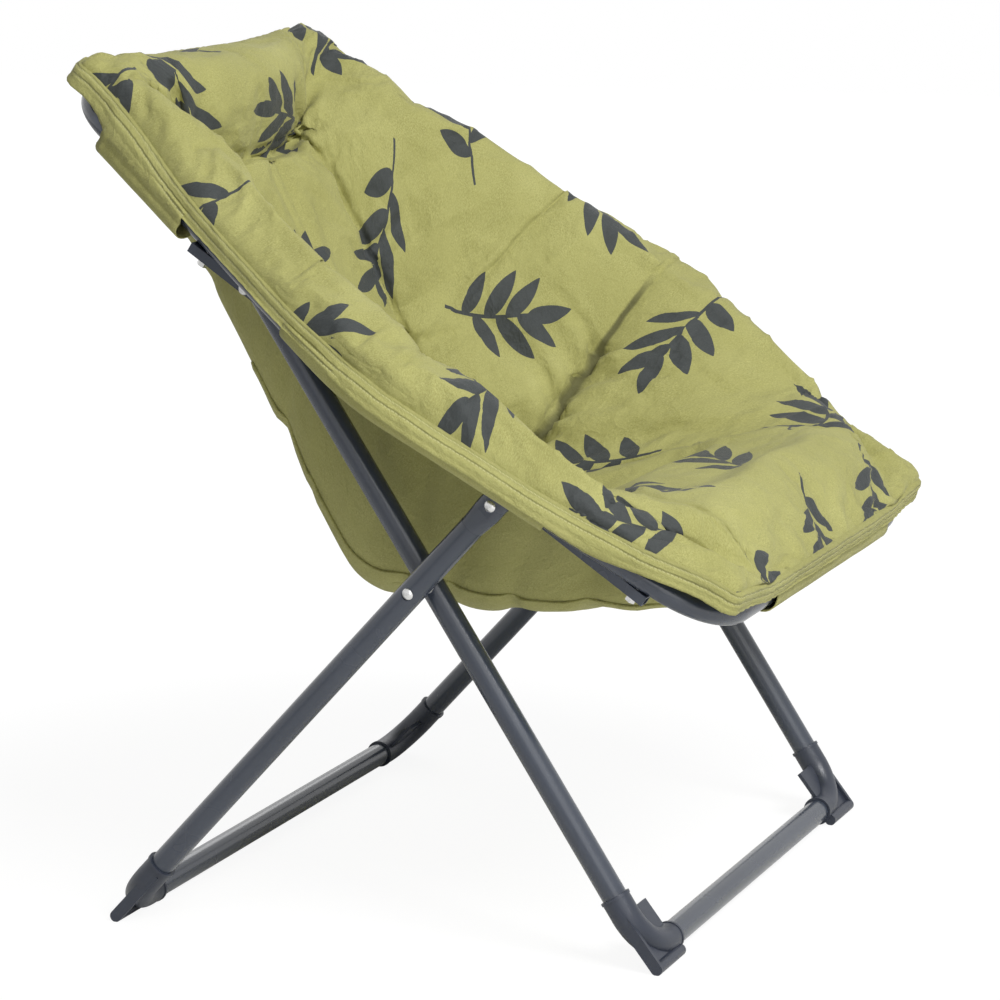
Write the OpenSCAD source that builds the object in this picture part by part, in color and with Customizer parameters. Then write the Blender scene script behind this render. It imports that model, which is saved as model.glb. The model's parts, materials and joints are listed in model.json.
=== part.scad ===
// Folding relaxer chair: two crossed tube leg frames carry a six-sided seat rim with a padded fabric seat.
// The sitter faces -Y, X is the width and the feet stand on Z = 0.

/* [Leg frames] */
// Outside diameter of the leg tube
leg_d = 25; // [24:0.5:26]
// Wall of every steel tube
tube_wall = 1.2; // [1:0.1:1.6]
// Distance from the middle plane to a rear leg's centre line
rear_half = 325; // [324:1:330]
// Distance from the middle plane to a front leg's centre line
front_half = 283; // [282:1:284]
// Bend radius where a leg turns into its floor rail
leg_bend = 44; // [40:1:50]
// Place of the rear floor rail along the depth
rear_rail_y = 274; // [272:1:276]
// Distance between the two floor rails
base_depth = 544; // [543:1:545]
// Height of the floor rails' centre lines
floor_rail_z = 16; // [16:0.5:17]
// Angle of the rear legs above the floor
rear_leg_angle = 46.9; // [46.8:0.05:47]
// Length from the rear rail to the scissor pivot, along the rear leg
rear_to_scissor = 473.3; // [473:0.1:474]
// Length from the rear rail to the rear leg's top pin
rear_to_top_pin = 595; // [594.5:0.1:595.5]
// Length from the front rail to the front leg's top pivot
front_to_top_pivot = 741.3; // [741:0.1:742]
// Tube left beyond a top pivot
tube_overrun = 15; // [13:1:16]
// Length of the rear leg's flattened end
flat_end_length = 44; // [40:1:50]

/* [Seat rim] */
// Slope of the side rails, down towards the front
rim_slope = 34; // [33.9:0.05:34.1]
// Outside diameter of the rim tube
rim_d = 22; // [21:0.5:22]
// Distance of the side rails from the middle plane
side_rail_half = 304; // [303.9:0.1:304.1]
// Width of a side rail's section
side_rail_w = 13; // [12.5:0.1:13]
// Height of a side rail's section
side_rail_h = 10; // [9.5:0.5:10]
// Side rail length behind the front leg's pivot
side_rail_back = 69; // [66:1:75]
// Side rail length ahead of the front leg's pivot
side_rail_front = 491; // [488:1:500]
// From the pivot back up to the rim's top tube
rim_top = 285; // [283:1:288]
// From the pivot down to the rim's side corner
rim_mid = 165; // [164:1:166]
// From the pivot down to the rim's front tube
rim_front = 555; // [553:1:557]
// Half width at the rim's top corners, before rounding
rim_top_half = 222.6; // [222:0.1:223]
// Half width at the rim's side corners, before rounding
rim_mid_half = 379.2; // [379:0.1:379.5]
// Half width at the rim's front corners, before rounding
rim_front_half = 285.5; // [285:0.1:286]
// Bend radius of the top and front corners
rim_corner_bend = 80; // [70:1:85]
// Bend radius of the side corners
rim_side_bend = 130; // [110:5:150]

/* [Fittings] */
// Shank diameter of the leg rivets
rivet_d = 8; // [7.9:0.1:8]
// Diameter of a rivet's domed head
rivet_head_d = 11.5; // [11:0.5:12]
// Height of a rivet's domed head
rivet_head_h = 3; // [2.5:0.5:3]
// Radial clearance of a moving rivet
pivot_gap = 0.05; // [0.03:0.01:0.08]
// Diameter of the bolts that hold the rim on the side rails
rim_bolt_d = 6; // [5.5:0.5:6]
// Plate thickness of the sliding bracket
bracket_t = 1.4; // [1.3:0.1:1.4]
// Wall of the moulded feet
foot_wall = 1.9; // [1.8:0.1:2.5]
// Thickness of a foot's floor fin
fin_t = 12; // [11:0.5:13]

/* [Upholstery] */
// Radial thickness of a fabric sleeve on the rim
sleeve_t = 2; // [1.5:0.5:2]
// Height of the padded liner's edge above the side rails
liner_edge = 40; // [39:1:41]
// Gap between the liner and the bag under it
skin_gap = 0.6; // [0.5:0.1:1]
// Thickness of the bag's cloth, as a solid
bag_t = 3; // [2.5:0.5:3]
// Diameter of the bound edge
binding_d = 7; // [6:0.5:8]
// Half width of a sewn panel seam, for the welt under the seat
welt_half = 190; // [180:5:200]

/* [Hidden] */
$fn = 64;

steel = [0.30, 0.33, 0.40];
nickel = [0.80, 0.80, 0.80];
nylon = [0.86, 0.86, 0.84];
plain_cloth = [0.66, 0.66, 0.41];
print_cloth = [0.68, 0.68, 0.43];

tiny = 0.01;
arc_lap = 0.06;
into_arc = 0.3;
leg_r = leg_d / 2;
rim_r = rim_d / 2;
front_rail_y = rear_rail_y - base_depth;

// Pivots in the side plane, as [y, z]
rear_rail = [rear_rail_y, floor_rail_z];
front_rail = [front_rail_y, floor_rail_z];
rear_dir = [-cos(rear_leg_angle), sin(rear_leg_angle)];
scissor = rear_rail + rear_to_scissor * rear_dir;
rear_top = rear_rail + rear_to_top_pin * rear_dir;
front_leg_angle = atan2(scissor[1] - front_rail[1], scissor[0] - front_rail[0]);
front_dir = [cos(front_leg_angle), sin(front_leg_angle)];
front_to_scissor = norm(scissor - front_rail);
seat_pivot = front_rail + front_to_top_pivot * front_dir;

// The rim's own frame: x across, y back up the slope, z square to the rim, from the seat pivot
slope_dir = [cos(rim_slope), sin(rim_slope)];
slope_up = [-sin(rim_slope), cos(rim_slope)];
slide_along = -(rear_top - seat_pivot) * slope_dir;
slide_drop = (rear_top - seat_pivot) * slope_up;
rim_z = side_rail_h / 2 + rim_r;

// Bolts stand where the rim tube crosses the side rails
bolt_back_y = rim_top - (rim_top + rim_mid) * (side_rail_half - rim_top_half) / (rim_mid_half - rim_top_half);
bolt_front_y = -rim_front + (rim_front - rim_mid) * (side_rail_half - rim_front_half)
    / (rim_mid_half - rim_front_half);
side_unit = [rim_front_half - rim_mid_half, rim_mid - rim_front] / norm([rim_front_half - rim_mid_half,
    rim_mid - rim_front]);
joint_at = 95;
joint_point = [rim_mid_half, -rim_mid] + side_unit * joint_at;

function flip(p) = [-p[0], p[1]];
back_path = [joint_point, [rim_mid_half, -rim_mid], [rim_top_half, rim_top], [-rim_top_half, rim_top],
    [-rim_mid_half, -rim_mid], flip(joint_point)];
seat_path = [joint_point, [rim_front_half, -rim_front], [-rim_front_half, -rim_front], flip(joint_point)];
back_bends = [0, rim_side_bend, rim_corner_bend, rim_corner_bend, rim_side_bend, 0];
seat_bends = [0, rim_corner_bend, rim_corner_bend, 0];

// A bent tube along a flat path: straight runs and true arcs
function turn(p, i) = let(a = p[i] - p[i - 1], b = p[i + 1] - p[i])
    atan2(a[0] * b[1] - a[1] * b[0], a * b);
function setback(p, r, i) = (i == 0 || i == len(p) - 1) ? 0 : r[i] * tan(abs(turn(p, i)) / 2);

// Every run and arc is drawn in the frame where the last one ended, and is hollow when it has a bore.
// An arc is a hair thicker than the runs, whose ends go a little way into it
module bent_rod(p, r, d, bore = 0) {
    u = p[1] - p[0];
    translate([p[0][0], p[0][1], 0])
        rotate([0, 0, atan2(u[1], u[0])])
            bent_run(p, r, d, bore, 0);
}

module bent_run(p, r, d, bore, i) {
    run = norm(p[i + 1] - p[i]) - setback(p, r, i) - setback(p, r, i + 1);
    back = i > 0 ? into_arc : 0;
    ahead = i < len(p) - 2 ? into_arc : 0;
    translate([-back, 0, 0])
        rotate([0, 90, 0])
            linear_extrude(back + run + ahead)
                ring(d, bore);
    if (i < len(p) - 2) {
        bend = turn(p, i + 1);
        side = bend > 0 ? 1 : -1;
        translate([run, side * r[i + 1], 0]) {
            rotate([0, 0, -side * 90])
                rotate_extrude(angle = bend)
                    translate([r[i + 1], 0])
                        ring(d + 2 * arc_lap, max(0, bore - 2 * arc_lap));
            rotate([0, 0, bend])
                translate([0, -side * r[i + 1], 0])
                    bent_run(p, r, d, bore, i + 1);
        }
    }
}

module ring(d, bore) {
    difference() {
        circle(d = d);
        if (bore > 0)
            circle(d = bore);
    }
}

module bent_tube(p, r, d, wall) {
    bent_rod(p, r, d, d - 2 * wall);
}

// Frames of the three assemblies
module in_rear_leg() {
    translate([0, rear_rail[0], rear_rail[1]])
        rotate([90 - rear_leg_angle, 0, 0])
            children();
}

module in_front_leg() {
    translate([0, front_rail[0], front_rail[1]])
        rotate([front_leg_angle - 90, 0, 0])
            children();
}

module in_rim() {
    translate([0, seat_pivot[0], seat_pivot[1]])
        rotate([rim_slope, 0, 0])
            children();
}

module across(x, p, d, h) {
    translate([x, p[0], p[1]])
        rotate([0, 90, 0])
            cylinder(d = d, h = h, center = true);
}

module sides() {
    children();
    mirror([1, 0, 0])
        children();
}

// Leg frames
module leg_path_rod(half, top, d) {
    rotate([90, 0, 0])
        bent_rod([[half, top], [half, 0], [-half, 0], [-half, top]], [0, leg_bend, leg_bend, 0], d);
}

flat_r = 8.5;
flat_half = 5.9;
flat_x = rear_half - leg_r + flat_r;

module stadium(r, half) {
    for (k = [-1, 1])
        translate([0, k * half])
            circle(r = r);
    square([2 * r, 2 * half], center = true);
}

// The taper between the round tube and its flattened end, a hair thinner than both where it meets them
module flat_end(r_round, r_flat, top) {
    taper = 18;
    lap = 1.5;
    shy = 0.3;
    base = top - flat_end_length;
    translate([flat_x, 0, base + taper])
        linear_extrude(flat_end_length - taper)
            stadium(r_flat, flat_half);
    hull() {
        translate([rear_half, 0, base - lap])
            cylinder(r = r_round - shy, h = lap, $fn = 32);
        translate([flat_x, 0, base + taper])
            linear_extrude(lap)
                stadium(r_flat - shy, flat_half, $fn = 32);
    }
}

module spot_face(x, p, face_x) {
    across(face_x + (face_x > x ? 5 : -5), p, rivet_head_d + 0.6, 10);
}

rear_leg_top = rear_to_top_pin + tube_overrun;
rear_round_top = rear_leg_top - flat_end_length;
head_seat = leg_r - 1.3;

module rear_leg_frame() {
    color(steel)
        difference() {
            in_rear_leg()
                difference() {
                    union() {
                        leg_path_rod(rear_half, rear_round_top, leg_d);
                        sides()
                            flat_end(leg_r, flat_r, rear_leg_top);
                    }
                    leg_path_rod(rear_half, rear_round_top + tiny, leg_d - 2 * tube_wall);
                    sides()
                        flat_end(leg_r - tube_wall, flat_r - tube_wall, rear_leg_top + 1);
                }
            sides() {
                across(rear_half, scissor, rivet_d + 2 * pivot_gap, 3 * leg_d);
                across(rear_half, rear_top, rivet_d + 2 * pivot_gap, 3 * leg_d);
                spot_face(rear_half, scissor, rear_half + head_seat);
            }
        }
}

module front_leg_frame() {
    color(steel)
        difference() {
            in_front_leg()
                difference() {
                    leg_path_rod(front_half, front_to_top_pivot + tube_overrun, leg_d);
                    leg_path_rod(front_half, front_to_top_pivot + tube_overrun + 1, leg_d - 2 * tube_wall);
                }
            sides() {
                across(front_half, scissor, rivet_d + 2 * pivot_gap, 2 * leg_d);
                across(front_half, seat_pivot, rivet_d + 2 * pivot_gap, 2 * leg_d);
                spot_face(front_half, scissor, front_half - head_seat);
                spot_face(front_half, seat_pivot, front_half - head_seat);
            }
        }
}

// Feet: a moulded elbow round the tube's bend, with a floor fin outside the bend
foot_r = leg_r + foot_wall;
leg_collar = 19;
rail_collar = 14;
fin_tip = 60;

module foot_shape(half, lean, shift, tip) {
    rim = 4.5;
    web_t = 4;
    outer = half + foot_r - 1.3;
    inner = half - leg_bend - rail_collar;
    difference() {
        union() {
            // Elbow with its two collars, and their lips
            rotate([90, 0, 0])
                bent_rod([[half, leg_bend + leg_collar], [half, 0], [inner, 0]], [0, leg_bend, 0], 2 * foot_r);
            translate([half, 0, leg_bend + leg_collar - 3])
                cylinder(r = foot_r + 0.9, h = 3);
            translate([inner, 0, 0])
                rotate([0, 90, 0])
                    cylinder(r = foot_r + 0.7, h = 3);
            // Web with its outer rib and its rounded floor rib
            translate([0, shift, 0])
                rotate([lean, 0, 0]) {
                    translate([inner + 8, -web_t / 2, -tip])
                        cube([outer - inner - 8 - rim / 2, web_t, tip + leg_bend]);
                    translate([outer - rim, -fin_t / 2, -tip])
                        cube([rim, fin_t, tip + leg_bend + leg_collar - 8]);
                    translate([inner + 6, 0, -tip])
                        rotate([0, 90, 0])
                            cylinder(d = fin_t, h = outer - inner - 6);
                }
        }
        rotate([90, 0, 0])
            bent_rod([[half, leg_bend + leg_collar + 1], [half, 0], [inner - 1, 0]], [0, leg_bend, 0], leg_d + 0.2);
    }
}

module above_floor() {
    difference() {
        children();
        translate([-500, -500, -200])
            cube([1000, 1000, 200]);
    }
}

// A foot's fin starts off the leg's plane, leans a little and ends where its rib just meets the floor
module rear_foot() {
    shift = -3;
    foot_shape(rear_half, 0, shift, (floor_rail_z - fin_t * 0.475 + shift * cos(rear_leg_angle)) / sin(rear_leg_angle));
}

module front_foot() {
    shift = -4;
    lean = -5;
    drop = floor_rail_z - fin_t * 0.475 - shift * cos(front_leg_angle);
    foot_shape(front_half, lean, shift, drop / sin(front_leg_angle + lean));
}

module rear_foot_right() {
    color(steel)
        above_floor()
            in_rear_leg()
                mirror([1, 0, 0])
                    rear_foot();
}

module rear_foot_left() {
    color(steel)
        above_floor()
            in_rear_leg()
                rear_foot();
}

module front_foot_right() {
    color(steel)
        above_floor()
            in_front_leg()
                mirror([1, 0, 0])
                    front_foot();
}

module front_foot_left() {
    color(steel)
        above_floor()
            in_front_leg()
                front_foot();
}

// Rivets, pins and washers
module dome(x, p, d, h, out) {
    ball = (d * d / 4 + h * h) / (2 * h);
    translate([x, p[0], p[1]])
        rotate([0, out > 0 ? 90 : -90, 0])
            intersection() {
                translate([0, 0, h - ball])
                    sphere(r = ball);
                cylinder(d = d, h = h);
            }
}

module shank(x0, x1, p, d) {
    translate([x0, p[0], p[1]])
        rotate([0, 90, 0])
            cylinder(d = d, h = x1 - x0);
}

module scissor_rivets() {
    color(nickel)
        sides() {
            shank(front_half - head_seat, rear_half + head_seat, scissor, rivet_d);
            dome(rear_half + head_seat, scissor, rivet_head_d, rivet_head_h, 1);
            dome(front_half - head_seat, scissor, rivet_head_d, rivet_head_h, -1);
        }
}

washer_d = 17;
washer_mid = (rear_half + front_half) / 2;

// Two washers, each saddled on its own tube, meet face to face between the legs
module saddle_washer(x0, x1, tube_x) {
    difference() {
        shank(x0, x1, scissor, washer_d);
        shank(x0 - 1, x1 + 1, scissor, rivet_d + 2 * pivot_gap);
        if (tube_x > washer_mid)
            in_rear_leg()
                translate([tube_x, 0, 0])
                    cylinder(d = leg_d + 0.1, h = front_to_top_pivot);
        else
            in_front_leg()
                translate([tube_x, 0, 0])
                    cylinder(d = leg_d + 0.1, h = front_to_top_pivot);
    }
}

module outer_saddle_washers() {
    color(nylon)
        sides()
            saddle_washer(washer_mid + 0.15, rear_half - leg_r + 3, rear_half);
}

module inner_saddle_washers() {
    color(nylon)
        sides()
            saddle_washer(front_half + leg_r - 3, washer_mid - 0.15, front_half);
}

module rear_leg_top_pins() {
    outer_face = flat_x + flat_r;
    color(nickel)
        sides() {
            shank(rear_half - leg_r, outer_face, rear_top, rivet_d);
            dome(outer_face, rear_top, rivet_head_d, rivet_head_h, 1);
        }
}

// Side rails, open at both ends
module side_rail() {
    length = side_rail_back + side_rail_front;
    difference() {
        in_rim()
            translate([side_rail_half, side_rail_back, 0])
                rotate([90, 0, 0])
                    linear_extrude(length)
                        difference() {
                            square([side_rail_w, side_rail_h], center = true);
                            square([side_rail_w - 2 * tube_wall, side_rail_h - 2 * tube_wall], center = true);
                        }
        across(side_rail_half, seat_pivot, rim_bolt_d + 0.1, 2 * side_rail_w);
        in_rim()
            for (y = [bolt_back_y, bolt_front_y])
                translate([side_rail_half, y, 0])
                    cylinder(d = rim_bolt_d + 0.2, h = 4 * side_rail_h, center = true);
    }
}

module side_rail_left() {
    color(steel)
        side_rail();
}

module side_rail_right() {
    color(steel)
        mirror([1, 0, 0])
            side_rail();
}

// Rim: a back tube and a seat tube, joined inside the side sleeves
module bolt_holes() {
    for (x = [-side_rail_half, side_rail_half], y = [bolt_back_y, bolt_front_y])
        translate([x, y, 0])
            cylinder(d = rim_bolt_d + 0.2, h = 6 * rim_d, center = true);
}

module back_rim_tube() {
    color(steel)
        in_rim()
            difference() {
                translate([0, 0, rim_z])
                    bent_tube(back_path, back_bends, rim_d, tube_wall);
                bolt_holes();
            }
}

module seat_rim_tube() {
    color(steel)
        in_rim()
            difference() {
                translate([0, 0, rim_z])
                    bent_tube(seat_path, seat_bends, rim_d, tube_wall);
                bolt_holes();
            }
}

module rim_joiners() {
    plug = 70;
    color(steel)
        in_rim()
            sides()
                translate([joint_point[0], joint_point[1], rim_z])
                    rotate([0, 0, atan2(side_unit[1], side_unit[0])])
                        rotate([0, 90, 0])
                            difference() {
                                cylinder(d = rim_d - 2 * tube_wall - 0.2, h = plug, center = true);
                                cylinder(d = rim_d - 4 * tube_wall - 0.2, h = plug + 1, center = true);
                            }
}

bolt_washer_d = 15;
bolt_top = rim_z + rim_r + 0.6;

back_slant = atan((rim_mid_half - rim_top_half) / (rim_top + rim_mid));
front_slant = atan((rim_mid_half - rim_front_half) / (rim_front - rim_mid));

// Each bolt is turned with the tube that it goes through
module at_bolts() {
    in_rim()
        sides()
            for (b = [[bolt_back_y, back_slant], [bolt_front_y, -front_slant]])
                translate([side_rail_half, b[0], 0])
                    rotate([0, 0, b[1]])
                        children();
}

module rim_bolts() {
    head_d = 12.5;
    head_h = 3.6;
    ball = (head_d * head_d / 4 + head_h * head_h) / (2 * head_h);
    color(nickel)
        at_bolts() {
            translate([0, 0, -side_rail_h / 2 - 4])
                cylinder(d = rim_bolt_d, h = bolt_top + side_rail_h / 2 + 4);
            difference() {
                translate([0, 0, bolt_top - 3])
                    cylinder(d = bolt_washer_d, h = 4.2);
                translate([0, 0, rim_z])
                    rotate([90, 0, 0])
                        cylinder(r = rim_r + 0.05, h = 2 * bolt_washer_d, center = true);
            }
            translate([0, 0, bolt_top + 1.2])
                intersection() {
                    translate([0, 0, head_h - ball])
                        sphere(r = ball);
                    cylinder(d = head_d, h = head_h);
                }
        }
}

module rim_nuts() {
    nut_d = 11;
    nut_h = 5;
    color(nickel)
        at_bolts()
            translate([0, 0, -side_rail_h / 2 - nut_h])
                difference() {
                    cylinder(d = nut_d, h = nut_h, $fn = 6);
                    translate([0, 0, -1])
                        cylinder(d = rim_bolt_d + 0.1, h = nut_h + 2);
                }
}

module front_leg_top_rivets() {
    rail_face = side_rail_half + side_rail_w / 2;
    color(nickel)
        sides() {
            shank(side_rail_half - side_rail_w / 2, rail_face, seat_pivot, rim_bolt_d);
            shank(front_half - head_seat, side_rail_half - side_rail_w / 2, seat_pivot, rivet_d);
            dome(rail_face, seat_pivot, rivet_head_d, rivet_head_h, 1);
            dome(front_half - head_seat, seat_pivot, rivet_head_d, rivet_head_h, -1);
        }
}

module rail_washers() {
    color(nylon)
        sides()
            difference() {
                shank(front_half + leg_r + 0.3, side_rail_half - side_rail_w / 2, seat_pivot, washer_d);
                shank(front_half, side_rail_half, seat_pivot, rivet_d + 2 * pivot_gap);
            }
}

// Brackets that slide on the side rails and carry the rear legs' top pins
module slide_bracket() {
    play = 0.15;
    long = 38;
    ear_d = 20;
    inner_w = side_rail_w + 2 * play;
    inner_h = side_rail_h + 2 * play;
    in_rim()
        translate([side_rail_half, -slide_along, 0])
            difference() {
                union() {
                    translate([-inner_w / 2 - bracket_t, -long / 2, -inner_h / 2 - bracket_t])
                        cube([inner_w + 2 * bracket_t, long, inner_h + 2 * bracket_t]);
                    for (k = [-1, 1])
                        translate([k > 0 ? inner_w / 2 : -inner_w / 2 - bracket_t, 0, slide_drop])
                            rotate([0, 90, 0])
                                cylinder(d = ear_d, h = bracket_t);
                    for (k = [-1, 1])
                        translate([k > 0 ? inner_w / 2 : -inner_w / 2 - bracket_t, -ear_d / 2, slide_drop])
                            cube([bracket_t, ear_d, -slide_drop]);
                }
                translate([-inner_w / 2, -long, -inner_h / 2])
                    cube([inner_w, 2 * long, inner_h]);
                translate([0, 0, slide_drop])
                    rotate([0, 90, 0])
                        cylinder(d = rivet_d + 2 * pivot_gap, h = 3 * side_rail_w, center = true);
            }
}

module slide_bracket_left() {
    color(steel)
        slide_bracket();
}

module slide_bracket_right() {
    color(steel)
        mirror([1, 0, 0])
            slide_bracket();
}

// Fabric sleeves on the rim. Each covers a stretch of it and stands up to the bound edge as a flat band
module sleeve(p, r) {
    in_rim()
        translate([0, 0, rim_z])
            bent_rod(p, r, rim_d + 2 * sleeve_t, rim_d + 0.6);
}

function on_side(a, b, y) = a + (b - a) * (y - a[1]) / (b[1] - a[1]);
top_corner = [rim_top_half, rim_top];
mid_corner = [rim_mid_half, -rim_mid];
front_corner = [rim_front_half, -rim_front];
top_sleeve_half = 150;
front_sleeve_half = 192;
upper_sleeve_ends = [222, 88];
side_sleeve_ends = [-73, -376];

module top_sleeve() {
    color(plain_cloth)
        sleeve([[-top_sleeve_half, rim_top], [top_sleeve_half, rim_top]], [0, 0]);
}

module upper_sleeve_left() {
    color(plain_cloth)
        sleeve([for (y = upper_sleeve_ends) on_side(top_corner, mid_corner, y)], [0, 0]);
}

module upper_sleeve_right() {
    color(plain_cloth)
        mirror([1, 0, 0])
            sleeve([for (y = upper_sleeve_ends) on_side(top_corner, mid_corner, y)], [0, 0]);
}

module side_sleeve_path() {
    sleeve([on_side(top_corner, mid_corner, side_sleeve_ends[0]), mid_corner,
        on_side(mid_corner, front_corner, side_sleeve_ends[1])], [0, rim_side_bend, 0]);
}

module side_sleeve_left() {
    color(plain_cloth)
        side_sleeve_path();
}

module side_sleeve_right() {
    color(plain_cloth)
        mirror([1, 0, 0])
            side_sleeve_path();
}

module front_sleeve() {
    color(plain_cloth)
        sleeve([[-front_sleeve_half, -rim_front], [front_sleeve_half, -rim_front]], [0, 0]);
}

// Bound edge all round the liner
binding_path = [[-0.5, rim_top + 8], [rim_top_half + 8, rim_top + 8], [rim_mid_half + 6, -rim_mid],
    [rim_front_half + 8, -rim_front - 8], [-0.5, -rim_front - 8]];

module edge_binding() {
    color(plain_cloth)
        in_rim()
            sides()
                translate([0, 0, liner_edge - binding_d / 2 - 0.4])
                    bent_rod(binding_path, [0, 45, rim_side_bend, 40, 0], binding_d);
}

// Stations of the seat from the top tube to the front tube. Each row holds the way down the slope at the
// edge, the half width there, the way and the height of the sitting surface's middle, the half width of
// the flat middle, the roll's height, how full the row is, the swell of its wall, and the way and the
// height of the bag's middle
stations = [
    [-293, 206, -293, 44, 112, 44, 0.3, 0, -288, 26],
    [-288.5, 216.5, -288, 56, 112, 52, 0.5, 0, -284, 22],
    [-281, 225.5, -275, 69, 112, 60, 0.9, 0, -275, 17],
    [-271, 230, -251, 72, 112, 64, 1, 0, -265, 6],
    [-259, 233.5, -223, 60, 114, 65, 1, 0, -247, -14],
    [-248, 237, -196, 34, 116, 65, 1, 0, -232, -26],
    [-236, 240.5, -172, -5, 118, 63, 1, -6, -214, -38],
    [-215, 247.5, -150, -3, 122, 61, 1, 4, -186, -52],
    [-175, 261, -125, -18, 126, 59, 1, 10, -143, -70],
    [-125, 278, -90, -38, 127, 57, 1, 13, -90, -95],
    [-65, 299, -45, -64, 125, 56, 1, 15, -30, -126],
    [0, 321.5, 15, -98, 123, 56, 1, 15, 36, -157],
    [65, 345, 85, -131, 116, 56, 1, 14, 107, -192],
    [120, 363, 150, -151, 107, 57, 1, 12, 167, -219],
    [160, 375.5, 202, -155, 104, 58, 1, 8, 218, -236],
    [185, 379, 233, -166, 104, 58, 1, 2, 245, -233],
    [208, 376.5, 256, -150, 108, 58, 1, 8, 267, -225],
    [250, 367, 292, -122, 120, 58, 1, 18, 307, -203],
    [305, 353.5, 336, -76, 142, 60, 1, 18, 356, -172],
    [360, 340, 380, -14, 160, 63, 1, 12, 403, -134],
    [410, 328, 418, 42, 178, 66, 1, 4, 446, -94],
    [455, 317, 456, 64, 190, 68, 1, 0, 485, -57],
    [500, 306, 499, 67, 190, 68, 1, 0, 520, -22],
    [535, 297.5, 534, 62, 190, 63, 0.9, 0, 536, 4],
    [555, 290, 554, 53, 190, 53, 0.5, 0, 549, 21],
    [563, 279, 562.5, 44, 190, 44, 0.3, 0, 560, 26]];

// Padding under the sitting surface's columns, from the edge to the middle
padding = [1.5, 6, 12, 14, 11, 9, 11, 14, 16, 16];
// Columns of the bag from its upper edge to the middle: part of the width, then part of the depth
bag_columns = [[1, 0], [0.985, 0.2], [0.96, 0.45], [0.92, 0.8], [0.76, 0.93], [0.41, 0.985], [0, 1]];
wall_limit = 262;
shoulder_width = 22;
last = len(padding) - 1;
bag_last = len(bag_columns) - 1;

function blend(a, b, t) = a + (b - a) * t;
// The roll is wider and thinner where the legs lie when the chair is folded
function shoulder(s) = max(0, min(1, 1.6 * (1 - abs(s[0] - 200) / 150)));
function reach(s) = s[1] - (46 + shoulder_width * shoulder(s)) * min(1, s[6] + 0.2);
function lip(s) = s[5] - 9 * s[6];
function sit_column(s, k) =
    k == 0 ? [s[1], liner_edge + 1.5, 0] :
    k == 1 ? [s[1] - 3 * s[6], blend(liner_edge + 1.5, s[5], 0.5), 0] :
    k == 2 ? [s[1] - 14 * s[6], s[5] - 4 * s[6] + 0.4, 0] :
    k == 3 ? [s[1] - 30 * s[6], s[5], 0] :
    k == 4 ? [reach(s), lip(s), 0] :
    k == 5 ? [blend(s[4], reach(s), 0.65), blend(s[3], lip(s), 0.65) + 1.1 * s[7], 0.18] :
    k == 6 ? [blend(s[4], reach(s), 0.3), blend(s[3], lip(s), 0.3) + 1.1 * s[7], 0.48] :
    k == 7 ? [s[4], s[3] + s[6], 0.74] :
    k == 8 ? [0.55 * s[4], s[3] + 3 * s[6], 0.95] : [0, s[3] + 4 * s[6], 1];
function padded(s, k) = padding[k] - (k == 4 || k == 5 ? 6 * shoulder(s) : 0);
function depth(s, k) = s[6] > 0.6 ? padded(s, k) : min(padding[k], sit_column(s, k)[1] - liner_edge);
function sit_point(s, k, drop) = let(c = sit_column(s, k)) [c[0], -blend(s[0], s[2], c[2]), c[1] - drop];

// The bag hangs from just under the liner's wall
function bag_half(s) = min(wall_limit, reach(s) - 8);
function bag_start(s) = lookup(bag_half(s), [for (k = [last : -1 : 0]) [sit_column(s, k)[0], sit_column(s, k)[1]]]);
function bag_point(s, k, drop) = let(c = bag_columns[k])
    [c[0] * bag_half(s), -blend(s[0], s[8], c[1]),
        blend(bag_start(s) - padding[4] - 3, s[9], c[1]) - drop];
function both_sides(row) = [for (p = row) [-p[0], p[1], p[2]],
    for (i = [len(row) - 2 : -1 : 0]) row[i]];

// A closed shell between an upper and a lower grid of points
module quilt(upper, lower) {
    rows = len(upper);
    cols = len(upper[0]);
    points = concat([for (r = upper) each r], [for (r = lower) each r]);
    base = rows * cols;
    function at(i, j) = i * cols + j;
    faces = concat(
        [for (i = [0 : rows - 2], j = [0 : cols - 2]) [at(i, j), at(i + 1, j), at(i, j + 1)]],
        [for (i = [0 : rows - 2], j = [0 : cols - 2]) [at(i + 1, j), at(i + 1, j + 1), at(i, j + 1)]],
        [for (i = [0 : rows - 2], j = [0 : cols - 2]) [base + at(i, j), base + at(i, j + 1), base + at(i + 1, j)]],
        [for (i = [0 : rows - 2], j = [0 : cols - 2])
            [base + at(i + 1, j), base + at(i, j + 1), base + at(i + 1, j + 1)]],
        [for (i = [0 : rows - 2], k = [0, 1]) k == 0
            ? [at(i, 0), base + at(i, 0), at(i + 1, 0)]
            : [at(i + 1, 0), base + at(i, 0), base + at(i + 1, 0)]],
        [for (i = [0 : rows - 2], k = [0, 1]) k == 0
            ? [at(i, cols - 1), at(i + 1, cols - 1), base + at(i, cols - 1)]
            : [at(i + 1, cols - 1), base + at(i + 1, cols - 1), base + at(i, cols - 1)]],
        [for (j = [0 : cols - 2], k = [0, 1]) k == 0
            ? [at(0, j), at(0, j + 1), base + at(0, j)]
            : [at(0, j + 1), base + at(0, j + 1), base + at(0, j)]],
        [for (j = [0 : cols - 2], k = [0, 1]) k == 0
            ? [at(rows - 1, j), base + at(rows - 1, j), at(rows - 1, j + 1)]
            : [at(rows - 1, j + 1), base + at(rows - 1, j), base + at(rows - 1, j + 1)]]);
    polyhedron(points, faces);
}

module padded_liner() {
    color(print_cloth)
        in_rim()
            quilt([for (s = stations) both_sides([for (k = [0 : last]) sit_point(s, k, 0)])],
                [for (s = stations) both_sides([for (k = [0 : last]) sit_point(s, k, depth(s, k))])]);
}

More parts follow.
